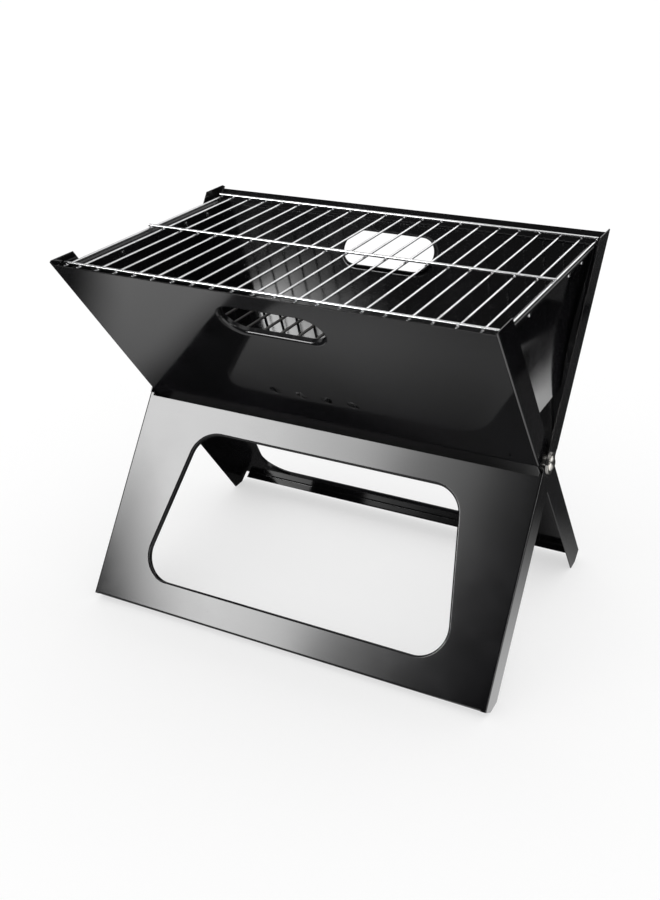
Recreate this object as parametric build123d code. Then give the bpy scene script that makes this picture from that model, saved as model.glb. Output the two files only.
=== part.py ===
from build123d import *
import os
from math import cos, radians, sin, tan

# Folding camp grill.  Two crossing arms turn on a pair of bolts.  The upper half
# of each arm is a trough wall and the lower half is an open leg frame.
# X is the width, Y points to the back, Z is up, origin on the ground at mid-width.

# ---- driving dimensions (mm) ----
HALF_WIDTH = 225.0         # outer face of the outer arm's side strips
INNER_HALF_WIDTH = 221.0   # outer face of the inner arm's side strips
SHEET = 1.0                # sheet thickness
STRIP = 30.0               # depth of the side strips, the folded thickness
BEND = 1.9                 # outside radius of the side bends
ARM_ANGLE = 36.0           # each arm from the vertical, standing open
PIVOT_Z = 195.0            # pivot height above the ground
ARM_REACH = 240.0          # pivot to wall top and to leg bottom, along the arm
WALL_LOW = -10.0           # lower edge of a wall
LEG_HIGH = -16.6           # upper edge of a leg frame
STRIP_JOINT = -13.4        # where the wall's strip meets the leg's strip
JOINT_GAP = 0.2
NEST_GAP = 1.6             # the inner arm's strips stop this far short of full depth
STRIP_TOP_Z = 187.2        # level cut of the strip tops above the pivot, arm open
LIP = 9.0                  # fold along the bottom of each leg
EAR = 3.0                  # the strips stand this far above a wall's top edge
EDGE_BEND = 2.2            # outside radius of lips and the window's pressed rim
SLOT_BEND = 3.5            # outside radius of a handle slot's pressed rim
LIP_GAP = 5.5              # a leg's lip stops this far short of the strips' outer faces
FOOT_ROUND = 4.0           # rounding between a strip's end and its ground face

SLOT_LENGTH = 105.0        # handle slot
SLOT_HEIGHT = 39.0
REAR_SLOT_UP = 188.0
FRONT_SLOT_UP = 192.5
SLOT_RIM = 7.0
WINDOW_TOP = -44.3         # leg window
WINDOW_LOW = -208.0
WINDOW_HALF_TOP = 149.0
WINDOW_HALF_LOW = 176.5
WINDOW_CORNER = 30.0
WINDOW_RIM = 5.5
VENT_RADIUS = 6.2          # vents along the foot of the front wall
VENT_PITCH = 28.7
VENT_COUNT = 4
VENT_UP = 69.0
LANCE_X = 195.0            # lanced tabs in the walls
LANCE_UP = 31.0

BOLT_RADIUS = 3.0
BOLT_HOLE = 3.05
WASHER_RADIUS = 11.0
LINK_HALF = 42.0           # waist link plates
LINK_WIDTH = 22.0
RIVET_RADIUS = 1.6
RIVET_HOLE = 1.65
RIVET_UP = 30.0

PLATE_X = 214.0            # outer face of an end plate's flat upper part
PLATE_LOW_Z = 63.0         # heights above the pivot
PLATE_CURVE_Z = 120.0      # below this an end plate curves outward
PLATE_LEAN = 11.0          # its lean at the lower edge
PLATE_BEND_Z = 155.0
PLATE_TOP_Z = 175.7
PLATE_CORNER = 9.0         # rounding of its lower corners
PLATE_HALF_LOW = 38.0
PLATE_HALF_BEND = 126.0
PLATE_HALF_TOP = 141.0
RAIL_WIDTH = 5.0
RAIL_DEPTH = 14.0
RAIL_NOSE = 2.8
RAIL_SHORT = 20.0          # rail ends, back from the plate's top corners
END_RIVET_Z = 168.0
END_RIVETS = (-105.0, -56.0, 56.0, 97.0)

WIRE = 1.15                # radius of a cross wire
FRAME_WIRE = 1.5           # radius of the grid frame wire
GRID_Z = 181.0             # frame wire centre above the pivot
GRID_HALF_X = 218.9        # end of a long bar
GRID_SIDE_X = 216.8        # outermost cross wires
GRID_HALF_Y = 134.7
GRID_WIRES = 20
GRID_PITCH = 21.2
WIRE_POKE = 4.2

GRATE_WIRE = 1.5           # radius of the charcoal grate's wires and bars
GRATE_Z = 80.0             # centre of its cross wires above the pivot
GRATE_HALF_X = 207.0
GRATE_WIRES = 20
GRATE_PITCH = 20.6
GRATE_GAP = 0.15           # bars and wire ends to the walls

W2 = STRIP / 2.0
SLOPE = tan(radians(ARM_ANGLE))


def local_box(x0, x1, y0, y1, z0, z1):
    return Pos((x0 + x1) / 2, (y0 + y1) / 2, (z0 + z1) / 2) * Box(x1 - x0, y1 - y0, z1 - z0)


def rod(radius, x0, x1, y, z):
    """Round bar along X."""
    return Pos((x0 + x1) / 2, y, z) * Rot(0, 90, 0) * Cylinder(radius, x1 - x0)


def channel(half_width, side, free_y, low, high):
    """Sheet with a strip folded at both ends; side is the y sign of the sheet."""
    depth = 2 * W2 + 20
    outer = Pos(0, side * (W2 - depth / 2), (low + high) / 2) * Box(2 * half_width, depth, high - low)
    outer = fillet(edges_at(outer, side * W2), BEND)
    inner_y = side * (W2 - SHEET - depth / 2)
    inner = Pos(0, inner_y, (low + high) / 2) * Box(2 * (half_width - SHEET), depth, high - low)
    inner = fillet(edges_at(inner, side * (W2 - SHEET)), BEND - SHEET)
    body = outer - inner
    far = local_box(-half_width - 1, half_width + 1, free_y, free_y - side * 60, low - 1, high + 1) \
        if side < 0 else \
        local_box(-half_width - 1, half_width + 1, free_y - 60, free_y, low - 1, high + 1)
    return body - far


def edges_at(box, y):
    """Upright edges of a box lying in the plane y."""
    return box.edges().filter_by(Axis.Z).filter_by(lambda e: abs(e.center().Y - y) < 0.01)


def edges_in_plane(body, y, low, high, reach):
    """Edges lying wholly in the plane y, inside a window round the middle."""
    def inside(edge):
        box = edge.bounding_box()
        flat = abs(box.min.Y - y) < 0.01 and abs(box.max.Y - y) < 0.01
        return flat and box.min.Z > low and box.max.Z < high and box.max.X < reach and box.min.X > -reach
    return body.edges().filter_by(inside)


def rimmed_opening(body, outline, side, depth, low, high, reach, bend):
    """Opening with its rim bent inward through a small radius."""
    face_y = side * W2
    plug = extrude(Plane.XZ * offset(outline, amount=SHEET), amount=depth, dir=(0, -side, 0))
    body += Pos(0, face_y, 0) * plug
    inner = edges_in_plane(body, side * (W2 - SHEET), low, high, reach)
    body = fillet(inner, bend - SHEET)
    hole = extrude(Plane.XZ * outline, amount=3 * W2, both=True)
    near = local_box(-reach, reach, min(face_y + side, face_y - side * 12),
                     max(face_y + side, face_y - side * 12), low - 20, high + 20)
    body -= hole & near
    return fillet(edges_in_plane(body, face_y, low, high, reach), bend)


def folded_edge(body, half_length, side, edge, inward, depth):
    """Folds a sheet edge over through a small radius; inward is +1 when the sheet lies above the edge."""
    run = 4.0
    outer_y = side * W2
    inner_y = side * (W2 - SHEET)
    end_y = side * (W2 - depth)
    points = [
        (outer_y, edge),
        (end_y, edge),
        (end_y, edge + inward * SHEET),
        (inner_y, edge + inward * SHEET),
        (inner_y, edge + inward * run),
        (outer_y, edge + inward * run),
    ]
    profile = make_face(Polyline(*points, close=True))
    bend_out = profile.vertices().sort_by_distance((outer_y, edge, 0))[0]
    profile = fillet(bend_out, EDGE_BEND)
    bend_in = profile.vertices().sort_by_distance((inner_y, edge + inward * SHEET, 0))[0]
    profile = fillet(bend_in, EDGE_BEND - SHEET)
    lip = Pos(-half_length, 0, 0) * extrude(Plane.YZ * profile, amount=2 * half_length, dir=(1, 0, 0))
    y0, y1 = sorted((outer_y + side, side * (W2 - depth - 1)))
    z0, z1 = sorted((edge - inward * 2, edge + inward * run))
    body -= local_box(-half_length, half_length, y0, y1, z0, z1)
    return body + lip


def slot_outline(up):
    return Pos(0, up) * SlotOverall(SLOT_LENGTH, SLOT_HEIGHT)


def window_outline():
    points = [
        (-WINDOW_HALF_TOP, WINDOW_TOP),
        (WINDOW_HALF_TOP, WINDOW_TOP),
        (WINDOW_HALF_LOW, WINDOW_LOW),
        (-WINDOW_HALF_LOW, WINDOW_LOW),
    ]
    face = make_face(Polyline(*points, close=True))
    return fillet(face.vertices(), WINDOW_CORNER)


def open_pose(shape, lean):
    """Lean an arm and lift it onto the pivot; lean is +1 to the back, -1 to the front."""
    return Pos(0, 0, PIVOT_Z) * Rot(-lean * ARM_ANGLE, 0, 0) * shape


def level_top_cut(side):
    """Removes the strip tops above one level in the open pose, in arm coordinates."""
    lean = side
    block = local_box(-300, 300, -300, 300, STRIP_TOP_Z, STRIP_TOP_Z + 200)
    return Rot(lean * ARM_ANGLE, 0, 0) * block


def foot_cut(side):
    """Everything a leg's strip ends must stay clear of: below the ground and past the reach."""
    lean = -side
    keep = make_face(Polyline((-300, -PIVOT_Z), (300, -PIVOT_Z), (300, 300), (-300, 300), close=True))
    leg_band = make_face(Polyline((-300, -ARM_REACH), (300, -ARM_REACH), (300, 300), (-300, 300), close=True))
    outline = (Rot(0, 0, lean * ARM_ANGLE) * keep) & leg_band
    middle = outline.vertices().sort_by(lambda v: abs(v.X) + abs(v.Y + ARM_REACH))[0]
    outline = fillet(middle, FOOT_ROUND)
    keep_solid = Pos(-300, 0, 0) * extrude(Plane.YZ * outline, amount=600, dir=(1, 0, 0))
    return keep_solid


def pivot_holes(half_width):
    return rod(BOLT_HOLE, -half_width - 5, half_width + 5, 0, 0)


def link_rivet_holes(half_width, up):
    return rod(RIVET_HOLE, -half_width - 5, half_width + 5, 0, up)


def lance(side, x):
    """Small tab pushed inward out of a wall, with the slit it leaves."""
    slit = local_box(x - 1.0, x + 1.0, side * W2 - 2, side * W2 + 2, LANCE_UP - 4, LANCE_UP + 4)
    y0 = side * (W2 - 0.4)
    y1 = side * (W2 - 4.5)
    tab = local_box(x + 1.0, x + 2.0, min(y0, y1), max(y0, y1), LANCE_UP - 4, LANCE_UP + 4)
    return slit, tab


def wall(half_width, side, free_y, slot_up, vents, relief):
    """Trough wall with strips, handle slot and lower edge, in arm coordinates."""
    body = channel(half_width, side, free_y, STRIP_JOINT, ARM_REACH)
    low_edge = local_box(-half_width + 5, half_width - 5, side * W2 - 2, side * W2 + 2,
                         STRIP_JOINT - 1, WALL_LOW)
    body -= low_edge
    if relief:
        # room for the inner arm's strips, which cross the rear wall's foot
        for sx in (-1, 1):
            x0, x1 = sorted((sx * relief, sx * (half_width + 1)))
            y0, y1 = sorted((side * (W2 - 3.0), side * (W2 + 1)))
            body -= local_box(x0, x1, y0, y1, STRIP_JOINT - 1, 16.0)
    half = SLOT_HEIGHT / 2 + 4
    low = slot_up - half
    high = slot_up + half
    body = rimmed_opening(body, slot_outline(slot_up), side, SLOT_RIM, low, high, 80, SLOT_BEND)
    body -= local_box(-half_width + BEND, half_width - BEND, side * W2 - 2, side * W2 + 2,
                      ARM_REACH - EAR, ARM_REACH + 1)
    for sx in (-1, 1):
        slit, tab = lance(side, sx * LANCE_X)
        body -= slit
        body += tab
    if vents:
        for i in range(VENT_COUNT):
            x = (i - (VENT_COUNT - 1) / 2) * VENT_PITCH
            body -= Pos(x, side * W2, VENT_UP) * Rot(90, 0, 0) * Cylinder(VENT_RADIUS, 6)
    body -= level_top_cut(side)
    body -= pivot_holes(half_width)
    body -= link_rivet_holes(half_width, RIVET_UP)
    return body


def leg(half_width, side, free_y):
    """Leg frame with strips, window, bottom lip and feet, in arm coordinates."""
    top = STRIP_JOINT - JOINT_GAP
    body = channel(half_width, side, free_y, -ARM_REACH, top)
    body -= local_box(-half_width + 5, half_width - 5, side * W2 - 2, side * W2 + 2, LEG_HIGH, top + 1)
    low = WINDOW_LOW - 5
    high = WINDOW_TOP + 5
    body = rimmed_opening(body, window_outline(), side, WINDOW_RIM, low, high, 190, EDGE_BEND)
    body = folded_edge(body, half_width - LIP_GAP, side, -ARM_REACH, 1, LIP)
    body &= foot_cut(side)
    body -= link_rivet_holes(half_width, -RIVET_UP)
    return body


def links(inner_face):
    """Two link plates lying against the inside of the strips at the waist."""
    plates = []
    for sx in (-1, 1):
        blank = Rectangle(LINK_WIDTH, 2 * LINK_HALF)
        blank = fillet(blank.vertices(), 8.0)
        plate = extrude(Plane.YZ * blank, amount=SHEET, dir=(sx, 0, 0))
        plate = Pos(sx * (inner_face - SHEET), 0, 0) * plate
        plate -= rod(BOLT_HOLE, -300, 300, 0, 0)
        for up in (-RIVET_UP, RIVET_UP):
            plate -= rod(RIVET_HOLE, -300, 300, 0, up)
        plates.append(plate)
    return plates


def link_rivets(outer_face, tail_height):
    """Rivets ground flush outside, with a flat tail on the link."""
    rivets = []
    for sx in (-1, 1):
        for up in (-RIVET_UP, RIVET_UP):
            inner = outer_face - 2 * SHEET
            shank = rod(RIVET_RADIUS, inner - 0.1, outer_face, 0, up)
            tail = rod(2.6, inner - tail_height, inner, 0, up)
            rivet = shank + tail
            rivets.append(rivet if sx > 0 else mirror(rivet, about=Plane.YZ))
    return rivets


def both_sides(shape):
    return [shape, mirror(shape, about=Plane.YZ)]


def pivot_bolt():
    """Bolt with a low domed head outside and a plain end inside."""
    head_x = HALF_WIDTH + 1.2
    end = INNER_HALF_WIDTH - 2 * SHEET - 7.6
    dome = Pos(head_x - 7.2, 0, 0) * Sphere(10.6)
    head = rod(7.4, head_x, head_x + 5, 0, 0) & dome
    shank = rod(BOLT_RADIUS, end, head_x + 0.5, 0, 0)
    shank = chamfer(shank.edges().filter_by(GeomType.CIRCLE).sort_by(Axis.X)[0], 0.6)
    return Pos(0, 0, PIVOT_Z) * (head + shank)


def ring(outer, inner, x0, x1):
    body = rod(outer, x0, x1, 0, PIVOT_Z) - rod(inner, x0 - 1, x1 + 1, 0, PIVOT_Z)
    return body


def pivot_nut():
    x1 = INNER_HALF_WIDTH - 2 * SHEET
    x0 = x1 - 6.2
    blank = RegularPolygon(5.75, 6)
    body = extrude(Plane.YZ * blank, amount=x1 - x0, dir=(1, 0, 0))
    body = Pos(x0, 0, PIVOT_Z) * body
    cone = Pos(x0 + 3.1, 0, PIVOT_Z) * Rot(0, 90, 0) * Cylinder(5.75, 6.2)
    cone = chamfer(cone.edges().filter_by(GeomType.CIRCLE), 0.7)
    return (body & cone) - rod(BOLT_RADIUS + 0.02, x0 - 1, x1 + 1, 0, PIVOT_Z)


def plate_sheet(z_low, z_top):
    """Sheet of the right end plate: flat above, its lower part curved outward."""
    z_curve = PIVOT_Z + PLATE_CURVE_Z
    radius = (z_curve - z_low) / sin(radians(PLATE_LEAN))
    centre = (PLATE_X + radius, z_curve)
    outer = CenterArc(centre, radius, 180, PLATE_LEAN)
    inner = CenterArc(centre, radius + SHEET, 180, PLATE_LEAN)
    sides = Polyline(outer @ 0, (PLATE_X, z_top), (PLATE_X - SHEET, z_top), inner @ 0)
    section = make_face([outer, sides, inner, Line(inner @ 1, outer @ 1)])
    return extrude(Plane.XZ * section, amount=2 * PLATE_HALF_TOP, both=True)


def end_plate():
    """Right end plate: slanted sides that wedge between the walls."""
    z_low = PIVOT_Z + PLATE_LOW_Z
    z_bend = PIVOT_Z + PLATE_BEND_Z
    z_top = PIVOT_Z + PLATE_TOP_Z
    points = [
        (-PLATE_HALF_LOW, z_low),
        (PLATE_HALF_LOW, z_low),
        (PLATE_HALF_BEND, z_bend),
        (PLATE_HALF_TOP, z_top),
        (-PLATE_HALF_TOP, z_top),
        (-PLATE_HALF_BEND, z_bend),
    ]
    face = make_face(Polyline(*points, close=True))
    corners = face.vertices().filter_by(lambda v: v.Y < z_low + 1)
    face = fillet(corners, PLATE_CORNER)
    outline = extrude(Plane.YZ * face, amount=HALF_WIDTH, dir=(1, 0, 0))
    plate = plate_sheet(z_low - 1, z_top) & outline
    for y in END_RIVETS:
        plate -= rod(RIVET_HOLE, PLATE_X - 5, PLATE_X + 5, y, PIVOT_Z + END_RIVET_Z)
    return plate


def end_rail():
    """Folded rail riveted inside the end plate; its rounded flange carries the grid."""
    top = PIVOT_Z + PLATE_TOP_Z + 0.3 + SHEET
    half = PLATE_HALF_TOP - RAIL_SHORT
    x_in = PLATE_X - SHEET
    x_out = PLATE_X + RAIL_WIDTH
    points = [
        (x_in - SHEET, top - RAIL_DEPTH),
        (x_in - SHEET, top),
        (x_out, top),
        (x_out, top - RAIL_NOSE),
        (x_out - SHEET, top - RAIL_NOSE),
        (x_out - SHEET, top - SHEET),
        (x_in, top - SHEET),
        (x_in, top - RAIL_DEPTH),
    ]
    profile = make_face(Polyline(*points, close=True))
    outer = profile.vertices().filter_by(lambda v: v.Y > top - 0.01)
    profile = fillet(outer, 1.5)
    inner = profile.vertices().filter_by(lambda v: abs(v.Y - (top - SHEET)) < 0.01)
    profile = fillet(inner, 0.25)
    rail = Pos(0, half, 0) * extrude(Plane.XZ * profile, amount=2 * half, dir=(0, -1, 0))
    for y in END_RIVETS:
        rail -= rod(RIVET_HOLE, x_in - 5, x_in + 5, y, PIVOT_Z + END_RIVET_Z)
    return rail


def end_rivets():
    rivets = []
    for y in END_RIVETS:
        shank = Pos(PLATE_X - SHEET, 0, 0) * Rot(0, 90, 0) * Cylinder(RIVET_RADIUS, 2 * SHEET + 0.2)
        head = Pos(PLATE_X + 0.6, 0, 0) * Rot(0, 90, 0) * Cylinder(3.1, 1.2)
        head = fillet(head.edges().sort_by(Axis.X)[-1], 0.9)
        tail = Pos(PLATE_X - 2 * SHEET - 0.5, 0, 0) * Rot(0, 90, 0) * Cylinder(2.5, 1.0)
        rivets.append(Pos(0, y, PIVOT_Z + END_RIVET_Z) * (shank + head + tail))
    return rivets


def grid_bar(y):
    """Long grid bar with lightly broken ends."""
    bar = rod(FRAME_WIRE, -GRID_HALF_X, GRID_HALF_X, y, PIVOT_Z + GRID_Z)
    return chamfer(bar.edges().filter_by(GeomType.CIRCLE), 0.3)


def grid_cross_wires():
    """Front-to-back wires under the bars, with their ends just past them."""
    reach = GRID_HALF_Y + WIRE_POKE
    z = PIVOT_Z + GRID_Z - FRAME_WIRE - WIRE - 0.02
    places = [(i - (GRID_WIRES - 1) / 2) * GRID_PITCH for i in range(GRID_WIRES)]
    places = [-GRID_SIDE_X] + places + [GRID_SIDE_X]
    wires = []
    for x in places:
        wire = Pos(x, 0, z) * Rot(90, 0, 0) * Cylinder(WIRE, 2 * reach)
        wires.append(chamfer(wire.edges().filter_by(GeomType.CIRCLE), 0.25))
    return wires


def wall_gap_y(z):
    """Distance from the middle plane to the inside of a wall at a height above the pivot."""
    return z * SLOPE + (W2 - SHEET) / cos(radians(ARM_ANGLE))


def grate_bar_place():
    """Y and Z of the charcoal grate's rear bar, lying against the rear wall."""
    z = GRATE_Z - 2 * GRATE_WIRE - 0.02
    y = wall_gap_y(z) - (GRATE_WIRE + GRATE_GAP) / cos(radians(ARM_ANGLE))
    return y, PIVOT_Z + z


def grate_bar(side):
    """Long bar of the charcoal grate; side is +1 for the rear wall, -1 for the front wall."""
    y, z = grate_bar_place()
    bar = rod(GRATE_WIRE, -GRATE_HALF_X, GRATE_HALF_X, side * y, z)
    return chamfer(bar.edges().filter_by(GeomType.CIRCLE), 0.3)


def grate_cross_wires():
    """Front-to-back wires on top of the two bars, reaching almost to the walls."""
    half = wall_gap_y(GRATE_Z - GRATE_WIRE) - GRATE_GAP
    wires = []
    for i in range(GRATE_WIRES):
        x = (i - (GRATE_WIRES - 1) / 2) * GRATE_PITCH
        wire = Pos(x, 0, PIVOT_Z + GRATE_Z) * Rot(90, 0, 0) * Cylinder(GRATE_WIRE, 2 * half)
        wires.append(chamfer(wire.edges().filter_by(GeomType.CIRCLE), 0.25))
    return wires


def save(name, shapes):
    """Write one sub-part, as one solid or as a group of separate solids."""
    solids = []
    for shape in shapes if isinstance(shapes, list) else [shapes]:
        solids.extend(shape.solids())
    item = solids[0] if len(solids) == 1 else Compound(children=solids)
    item.label = name
    export_step(item, "parts/" + name + ".step")


def main():
    os.makedirs("parts", exist_ok=True)
    nest = W2 - NEST_GAP

    # outer arm: rear wall above the pivot, front leg below it
    save("rear_wall", open_pose(wall(HALF_WIDTH, 1, -W2, REAR_SLOT_UP, False, 217.0), 1))
    save("front_leg", open_pose(leg(HALF_WIDTH, -1, W2), 1))
    save("outer_links", [open_pose(p, 1) for p in links(HALF_WIDTH - SHEET)])
    save("outer_link_rivets", [open_pose(r, 1) for r in link_rivets(HALF_WIDTH, 0.5)])

    # inner arm: front wall above the pivot, rear leg below it
    save("front_wall", open_pose(wall(INNER_HALF_WIDTH, -1, nest, FRONT_SLOT_UP, True, 0), -1))
    save("rear_leg", open_pose(leg(INNER_HALF_WIDTH, 1, -nest), -1))
    save("inner_links", [open_pose(p, -1) for p in links(INNER_HALF_WIDTH - SHEET)])
    save("inner_link_rivets", [open_pose(r, -1) for r in link_rivets(INNER_HALF_WIDTH, 1.0)])

    # pivot hardware
    save("pivot_bolts", both_sides(pivot_bolt()))
    save("pivot_washers", both_sides(ring(WASHER_RADIUS, BOLT_HOLE, HALF_WIDTH, HALF_WIDTH + 1.2)))
    save("pivot_spacers", both_sides(ring(8.5, BOLT_HOLE, INNER_HALF_WIDTH, HALF_WIDTH - 2 * SHEET)))
    save("pivot_nuts", both_sides(pivot_nut()))

    # trough ends
    for name, flip in (("right", False), ("left", True)):
        for kind, shape in (("plate", end_plate()), ("rail", end_rail())):
            save("end_" + kind + "_" + name, mirror(shape, about=Plane.YZ) if flip else shape)
        rivets = end_rivets()
        if flip:
            rivets = [mirror(r, about=Plane.YZ) for r in rivets]
        save("end_rivets_" + name, rivets)

    # cooking grid and charcoal grate
    save("grid_front_bar", grid_bar(-GRID_HALF_Y))
    save("grid_centre_bar", grid_bar(0))
    save("grid_rear_bar", grid_bar(GRID_HALF_Y))
    save("grid_cross_wires", grid_cross_wires())
    save("grate_front_bar", grate_bar(-1))
    save("grate_rear_bar", grate_bar(1))
    save("grate_cross_wires", grate_cross_wires())


main()
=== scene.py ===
import math
import bpy
from mathutils import Matrix, Vector

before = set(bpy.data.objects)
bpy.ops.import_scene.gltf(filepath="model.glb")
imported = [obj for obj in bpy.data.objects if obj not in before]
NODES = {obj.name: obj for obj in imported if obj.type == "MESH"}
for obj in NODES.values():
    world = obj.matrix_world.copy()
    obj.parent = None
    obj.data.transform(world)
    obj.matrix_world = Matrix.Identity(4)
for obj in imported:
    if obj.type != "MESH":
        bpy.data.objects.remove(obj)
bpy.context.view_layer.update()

BLACK = (0.0035, 0.0035, 0.0038)
SATIN_BLACK = (0.0045, 0.0045, 0.0048)
BARE_METAL = (0.16, 0.155, 0.15, 1)
SHEET_EDGE = 0.0006        # metres of softening at the edges of sheet
WIRE_EDGE = 0.0003         # and of wire and rivets
ALONG_X = (0.06, 1, 1)     # drawn grain runs along this axis
ALONG_Y = (1, 0.06, 1)

# ---------- studio settings, in metres and degrees ----------
CAMERA_AZIMUTH = 27.7
CAMERA_ELEVATION = 26.85
CAMERA_ROLL = -1.34
CAMERA_PLACE = (0.4875, -0.9147, 0.699)
SENSOR = 36                # millimetres
LENS = 44.63               # millimetres
LENS_SHIFT = (-0.0184, -0.0138)

FLOOR_SIZE = 16
FLOOR_TONE = 0.93
FLOOR_WHITE = 0.55         # share of plain white the camera sees in the floor
DAYLIGHT = 1.05            # what every ray but a reflected one sees

# only reflected rays see these strengths
SOFT_BOX = 14.6
SIDE_LAMP = 5.0
CEILING = 0.9
GLIMMER = 0.08
FLOOR_SHADOW = 0.04        # floor brightness inside the grill's shadow
# brightness across the soft box, from its right end to its left end
BOX_PROFILE = [(0.0, 0.0), (0.32, 0.0), (0.37, 0.016), (0.42, 0.06), (0.46, 0.115), (0.53, 0.25),
               (0.59, 0.48), (0.68, 0.79), (0.80, 1.0), (1.0, 1.0)]

CARD_SIZE = (0.20, 0.42)
CARD_PLACE = (0.545, 0.74, 0.001)


# ---------- node helpers ----------
class Tree:
    """Short way to add and link shader nodes."""

    def __init__(self, tree):
        self.tree = tree

    def add(self, kind, **settings):
        node = self.tree.nodes.new(kind)
        for key, value in settings.items():
            setattr(node, key, value)
        return node

    def link(self, a, b):
        self.tree.links.new(a, b)

    def feed(self, socket, value):
        """Connect an output, or set a plain value."""
        if isinstance(value, bpy.types.NodeSocket):
            self.link(value, socket)
        else:
            socket.default_value = value

    def math(self, operation, a, b=0.0):
        node = self.add("ShaderNodeMath", operation=operation)
        self.feed(node.inputs[0], a)
        self.feed(node.inputs[1], b)
        return node.outputs[0]

    def product(self, first, *others):
        for value in others:
            first = self.math("MULTIPLY", first, value)
        return first

    def total(self, first, *others):
        for value in others:
            first = self.math("ADD", first, value)
        return first

    def vec(self, operation, a, b, out="Vector"):
        node = self.add("ShaderNodeVectorMath", operation=operation)
        self.feed(node.inputs[0], a)
        self.feed(node.inputs[1], b)
        return node.outputs[out]

    def ramp(self, value, low, high, out_low=0.0, out_high=1.0, smooth=True):
        """out_low where value is low, out_high where it is high, and a smooth or straight run between."""
        node = self.add("ShaderNodeMapRange", clamp=True)
        if smooth:
            node.interpolation_type = "SMOOTHSTEP"
        for i, v in enumerate((value, low, high, out_low, out_high)):
            self.feed(node.inputs[i], v)
        return node.outputs[0]

    def noise(self, vector, scale, detail, rough):
        node = self.add("ShaderNodeTexNoise")
        self.feed(node.inputs["Vector"], vector)
        node.inputs["Scale"].default_value = scale
        node.inputs["Detail"].default_value = detail
        node.inputs["Roughness"].default_value = rough
        return node.outputs["Fac"]

    def parts(self, vector):
        """X, Y and Z of a vector."""
        node = self.add("ShaderNodeSeparateXYZ")
        self.link(vector, node.inputs[0])
        return node.outputs

    def mix_color(self, factor, a, b):
        node = self.add("ShaderNodeMix", data_type="RGBA")
        self.feed(node.inputs["Factor"], factor)
        self.feed(node.inputs[6], a)
        self.feed(node.inputs[7], b)
        return node.outputs[2]

    def mix_shader(self, factor, a, b):
        node = self.add("ShaderNodeMixShader")
        self.feed(node.inputs[0], factor)
        self.link(a, node.inputs[1])
        self.link(b, node.inputs[2])
        return node.outputs[0]

    def mix(self, factor, a, b):
        node = self.add("ShaderNodeMix", data_type="FLOAT")
        self.feed(node.inputs["Factor"], factor)
        self.feed(node.inputs[2], a)
        self.feed(node.inputs[3], b)
        return node.outputs[0]

    def bump(self, height, strength, distance, normal):
        node = self.add("ShaderNodeBump")
        node.inputs["Strength"].default_value = strength
        node.inputs["Distance"].default_value = distance
        self.feed(node.inputs["Height"], height)
        self.link(normal, node.inputs["Normal"])
        return node.outputs["Normal"]


def new_material(name):
    material = bpy.data.materials.new(name)
    material.use_nodes = True
    tree = Tree(material.node_tree)
    shader = material.node_tree.nodes["Principled BSDF"]
    return material, tree, shader


def set_surface(material, shader_output):
    material.node_tree.links.new(shader_output, material.node_tree.nodes["Material Output"].inputs[0])


def edge_mask(t, radius):
    """1 on worn or rounded edges, 0 on flat sheet, and the rounded normal."""
    bevel = t.add("ShaderNodeBevel", samples=4)
    bevel.inputs["Radius"].default_value = radius
    geometry = t.add("ShaderNodeNewGeometry")
    same = t.vec("DOT_PRODUCT", bevel.outputs["Normal"], geometry.outputs["Normal"], out="Value")
    return t.ramp(same, 0.99, 0.80), bevel.outputs["Normal"]


# ---------- materials ----------
def enamel(name, rough, peel, wave, wear, tint=BLACK):
    """Black baked enamel on pressed sheet: orange peel, faint waviness, smudges, rubbed edges."""
    material, t, shader = new_material(name)
    where = t.add("ShaderNodeTexCoord").outputs["Object"]
    edges, rounded = edge_mask(t, SHEET_EDGE)
    smudge = t.noise(where, 9.0, 5.0, 0.6)
    dust = t.noise(where, 260.0, 2.0, 0.7)
    rub = t.math("MULTIPLY", edges, t.ramp(t.noise(where, 55.0, 4.0, 0.65), 0.42, 0.68))
    rub = t.math("MULTIPLY", rub, wear)
    smudged = (tint[0] * 1.9, tint[1] * 1.9, tint[2] * 2.0, 1)
    color = t.mix_color(t.ramp(smudge, 0.35, 0.75), (*tint, 1), smudged)
    color = t.mix_color(rub, color, BARE_METAL)
    t.feed(shader.inputs["Base Color"], color)
    value = t.math("ADD", rough, t.ramp(smudge, 0.3, 0.8, -0.03, 0.06))
    value = t.math("ADD", value, t.ramp(dust, 0.62, 0.8, 0.0, 0.05))
    value = t.math("ADD", value, t.math("MULTIPLY", rub, 0.25))
    t.feed(shader.inputs["Roughness"], value)
    t.feed(shader.inputs["Metallic"], t.math("MULTIPLY", rub, 0.8))
    shader.inputs["IOR"].default_value = 1.5
    slow = t.bump(t.noise(where, 5.0, 1.0, 0.4), 1.0, wave, rounded)
    fine = t.bump(t.noise(where, 700.0, 1.0, 0.4), 1.0, peel, slow)
    t.feed(shader.inputs["Normal"], fine)
    return material


def metal(name, color, rough, scale, grain, stretch=(1, 1, 1)):
    """Plated or bare metal with fine drawn grain, stains and softened edges."""
    material, t, shader = new_material(name)
    where = t.add("ShaderNodeTexCoord").outputs["Object"]
    stretched = t.vec("MULTIPLY", where, stretch)
    edges, rounded = edge_mask(t, WIRE_EDGE)
    stain = t.noise(where, 38.0, 4.0, 0.6)
    lines = t.noise(stretched, scale, 3.0, 0.6)
    dark = tuple(c * 0.72 for c in color)
    t.feed(shader.inputs["Base Color"], t.mix_color(t.ramp(stain, 0.45, 0.8), (*color, 1), (*dark, 1)))
    shader.inputs["Metallic"].default_value = 1.0
    value = t.math("ADD", rough, t.ramp(stain, 0.4, 0.8, 0.0, 0.10))
    value = t.math("SUBTRACT", value, t.math("MULTIPLY", edges, 0.04))
    t.feed(shader.inputs["Roughness"], t.math("ADD", value, t.ramp(lines, 0.3, 0.7, -0.03, 0.05)))
    t.feed(shader.inputs["Normal"], t.bump(lines, 0.6, grain, rounded))
    return material


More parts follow.
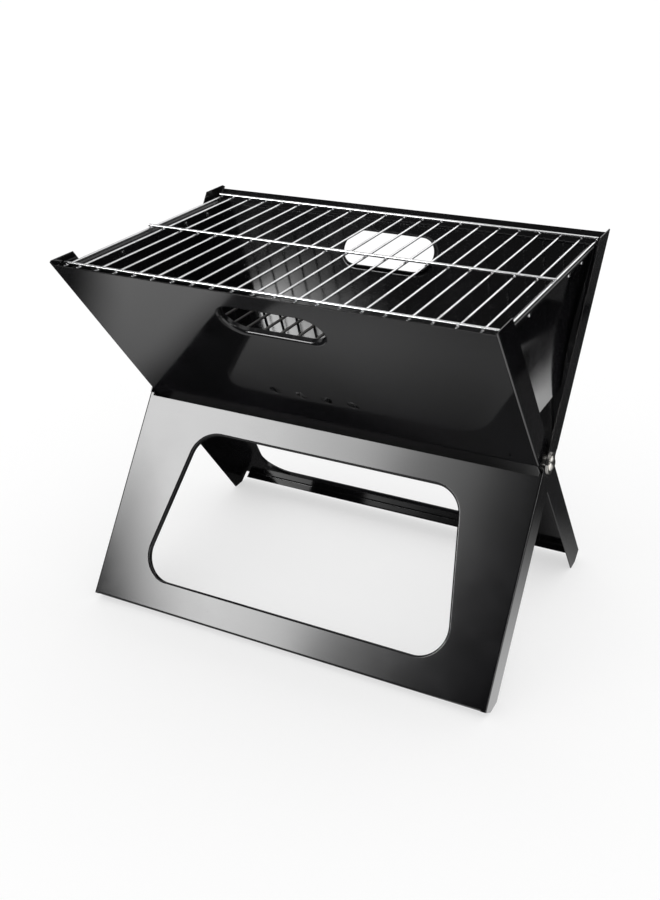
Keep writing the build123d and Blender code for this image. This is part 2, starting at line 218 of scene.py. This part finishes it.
gloss = enamel("gloss_black_enamel", rough=0.075, peel=0.000004, wave=0.0022, wear=0.55)
satin = enamel("satin_black_enamel", rough=0.24, peel=0.000006, wave=0.0016, wear=0.5, tint=SATIN_BLACK)
flush = enamel("painted_rivets", rough=0.2, peel=0.00001, wave=0.0005, wear=0.9)
chrome = metal("chrome_wire", (0.86, 0.86, 0.87), rough=0.14, scale=500.0, grain=0.00001, stretch=ALONG_Y)
bar_chrome = metal("chrome_bar", (0.88, 0.88, 0.89), rough=0.12, scale=500.0, grain=0.00001, stretch=ALONG_X)
grate_steel = metal("grate_wire", (0.20, 0.195, 0.19), rough=0.3, scale=500.0, grain=0.00002, stretch=ALONG_Y)
nickel = metal("nickel_plate", (0.80, 0.78, 0.74), rough=0.12, scale=900.0, grain=0.00002)
steel = metal("rivet_steel", (0.66, 0.66, 0.67), rough=0.22, scale=700.0, grain=0.00002)

FINISH = {
    "rear_wall": gloss, "front_wall": gloss, "front_leg": gloss, "rear_leg": gloss,
    "outer_links": satin, "inner_links": satin, "outer_link_rivets": flush, "inner_link_rivets": flush,
    "end_plate_left": gloss, "end_plate_right": gloss, "end_rail_left": satin, "end_rail_right": satin,
    "end_rivets_left": steel, "end_rivets_right": steel,
    "pivot_bolts": nickel, "pivot_washers": nickel, "pivot_spacers": nickel, "pivot_nuts": nickel,
    "grid_front_bar": bar_chrome, "grid_centre_bar": bar_chrome, "grid_rear_bar": bar_chrome,
    "grid_cross_wires": chrome,
    "grate_front_bar": grate_steel, "grate_rear_bar": grate_steel, "grate_cross_wires": grate_steel,
}
for name, obj in NODES.items():
    obj.data.materials.clear()
    obj.data.materials.append(FINISH[name])


# ---------- floor and card ----------
def mirrored_light(t):
    """Floor brightness in reflections, where the grill's long soft shadow lies to the back and right."""
    x, y = t.parts(t.add("ShaderNodeNewGeometry").outputs["Position"])[:2]
    back_edge = t.ramp(x, 0.08, 0.25, 0.02, 0.26)
    front_edge = t.ramp(x, 0.08, 0.25, -0.11, -0.15)
    gain = t.math("MAXIMUM", t.ramp(x, -0.08, 0.10, 0.42, 0.26), t.ramp(x, 0.12, 0.23, 0, 1.45))
    middle = t.product(t.ramp(y, back_edge, front_edge), gain)
    # beyond the shadow's slanting left edge
    left = t.ramp(y, 0.02, -0.12, 0.38, 0.88, smooth=False)
    left = t.product(left, t.ramp(t.total(x, y), -0.315, -0.42))
    lit = t.product(t.math("MAXIMUM", middle, left), t.ramp(x, -0.52, -0.41))
    return t.total(lit, FLOOR_SHADOW)


def make_floor():
    bpy.ops.mesh.primitive_plane_add(size=FLOOR_SIZE)
    floor = bpy.context.object
    floor.name = "floor"
    material, t, shader = new_material("pale_floor")
    shader.inputs["Base Color"].default_value = (FLOOR_TONE, FLOOR_TONE, FLOOR_TONE, 1)
    shader.inputs["Roughness"].default_value = 0.9
    shader.inputs["Specular IOR Level"].default_value = 0.0
    white = t.add("ShaderNodeEmission")
    white.inputs["Strength"].default_value = DAYLIGHT
    path = t.add("ShaderNodeLightPath")
    share = t.product(path.outputs["Is Camera Ray"], FLOOR_WHITE)
    plain = t.mix_shader(share, shader.outputs[0], white.outputs[0])
    mirrored = t.add("ShaderNodeEmission")
    t.feed(mirrored.inputs["Strength"], mirrored_light(t))
    both = t.mix_shader(path.outputs["Is Glossy Ray"], plain, mirrored.outputs[0])
    set_surface(material, both)
    floor.data.materials.append(material)


def make_plate_card():
    """Bright card on the floor behind the grill's right end, which only the end plates mirror."""
    bpy.ops.mesh.primitive_plane_add(size=1)
    card = bpy.context.object
    card.name = "plate_card"
    card.scale = (*CARD_SIZE, 1)
    card.location = CARD_PLACE
    material, t, shader = new_material("card_glow")
    x = t.parts(t.add("ShaderNodeNewGeometry").outputs["Position"])[0]
    glow = t.total(t.ramp(x, 0.450, 0.515, 0, 0.95), t.ramp(x, 0.512, 0.521, 0, 0.75))
    # it fades with distance, so the upper part of a plate stays dark
    length = t.add("ShaderNodeLightPath").outputs["Ray Length"]
    light = t.add("ShaderNodeEmission")
    t.feed(light.inputs["Strength"], t.product(glow, t.ramp(length, 0.91, 0.888)))
    set_surface(material, light.outputs[0])
    card.data.materials.append(material)
    card.visible_camera = False
    card.visible_diffuse = False
    card.visible_shadow = False
    card.visible_transmission = False
    receivers = bpy.data.collections.new("card_receivers")
    for side in ("left", "right"):
        receivers.objects.link(NODES["end_plate_" + side])
    card.light_linking.receiver_collection = receivers


# ---------- studio: what each kind of ray sees ----------
def soft_box(t, azimuth, rise):
    """Soft box at the front left: strong on its left, fading to its right."""
    side = t.add("ShaderNodeFloatCurve")
    curve = side.mapping.curves[0]
    curve.points[0].location = BOX_PROFILE[0]
    curve.points[1].location = BOX_PROFILE[-1]
    for point in BOX_PROFILE[1:-1]:
        curve.points.new(*point)
    side.mapping.update()
    fan = t.product(t.math("SUBTRACT", azimuth, 23), t.ramp(rise, 37, 27, 0, 0.6, smooth=False))
    t.feed(side.inputs["Value"], t.ramp(t.total(azimuth, fan), 0, 50, 0, 1, smooth=False))
    slant = t.product(t.math("SUBTRACT", azimuth, 34), 0.6)
    lower = t.ramp(t.math("SUBTRACT", rise, slant), 21, 27.5)
    corner = t.ramp(azimuth, 40.5, 46, 0, 6.5, smooth=False)
    upper = t.math("POWER", t.ramp(t.total(rise, corner), 45.5, 39.5), 2)
    left_end = t.ramp(azimuth, 62, 50)
    return t.product(side.outputs[0], lower, upper, left_end)


def pale_wall(t, x, y, rise):
    """Pale wall behind the grill, brightest in a low band."""
    band = t.product(t.ramp(rise, 2, 17), t.ramp(rise, 26, 38, 1.15, 0.5))
    return t.product(t.ramp(y, 0.0, 0.25), band, t.ramp(x, -0.62, -0.3, 0.55, 1.0))


def side_lamp(t, azimuth, rise):
    """Narrow upright lamp at the right, which the folds and rims catch."""
    off = t.math("ABSOLUTE", t.total(azimuth, 72))
    return t.product(t.ramp(off, 9, 5), t.ramp(rise, 4, 8), t.ramp(rise, 58, 50))


def make_world():
    world = bpy.data.worlds.new("studio")
    bpy.context.scene.world = world
    world.use_nodes = True
    t = Tree(world.node_tree)
    x, y, z = t.parts(t.add("ShaderNodeTexCoord").outputs["Generated"])
    degrees = 180 / math.pi
    # azimuth is 0 in front of the grill and grows to its left
    azimuth = t.product(t.math("ARCTAN2", t.product(x, -1), t.product(y, -1)), degrees)
    rise = t.product(t.math("ARCSINE", z), degrees)
    mirrored = t.total(
        t.product(soft_box(t, azimuth, rise), SOFT_BOX),
        pale_wall(t, x, y, rise),
        t.product(side_lamp(t, azimuth, rise), SIDE_LAMP),
        t.product(t.ramp(rise, 55, 75), CEILING),
        GLIMMER)
    path = t.add("ShaderNodeLightPath")
    back = world.node_tree.nodes["Background"]
    back.inputs["Color"].default_value = (1, 1, 1, 1)
    t.feed(back.inputs["Strength"], t.mix(path.outputs["Is Glossy Ray"], DAYLIGHT, mirrored))


# ---------- camera ----------
def make_camera():
    data = bpy.data.cameras.new("camera")
    camera = bpy.data.objects.new("camera", data)
    bpy.context.scene.collection.objects.link(camera)
    bpy.context.scene.camera = camera
    azimuth = math.radians(CAMERA_AZIMUTH)
    elevation = math.radians(CAMERA_ELEVATION)
    roll = math.radians(CAMERA_ROLL)
    ahead = Vector((-math.sin(azimuth) * math.cos(elevation),
                    math.cos(azimuth) * math.cos(elevation),
                    -math.sin(elevation)))
    flat_right = Vector((math.cos(azimuth), math.sin(azimuth), 0))
    right = flat_right * math.cos(roll) + flat_right.cross(ahead) * math.sin(roll)
    place = Matrix((right, right.cross(ahead), -ahead)).transposed().to_4x4()
    place.translation = Vector(CAMERA_PLACE)
    camera.matrix_world = place
    data.sensor_width = SENSOR
    data.lens = LENS
    data.shift_x, data.shift_y = LENS_SHIFT
    data.clip_start = 0.01


make_floor()
make_plate_card()
make_world()
make_camera()
bpy.context.scene.view_settings.view_transform = "Standard"
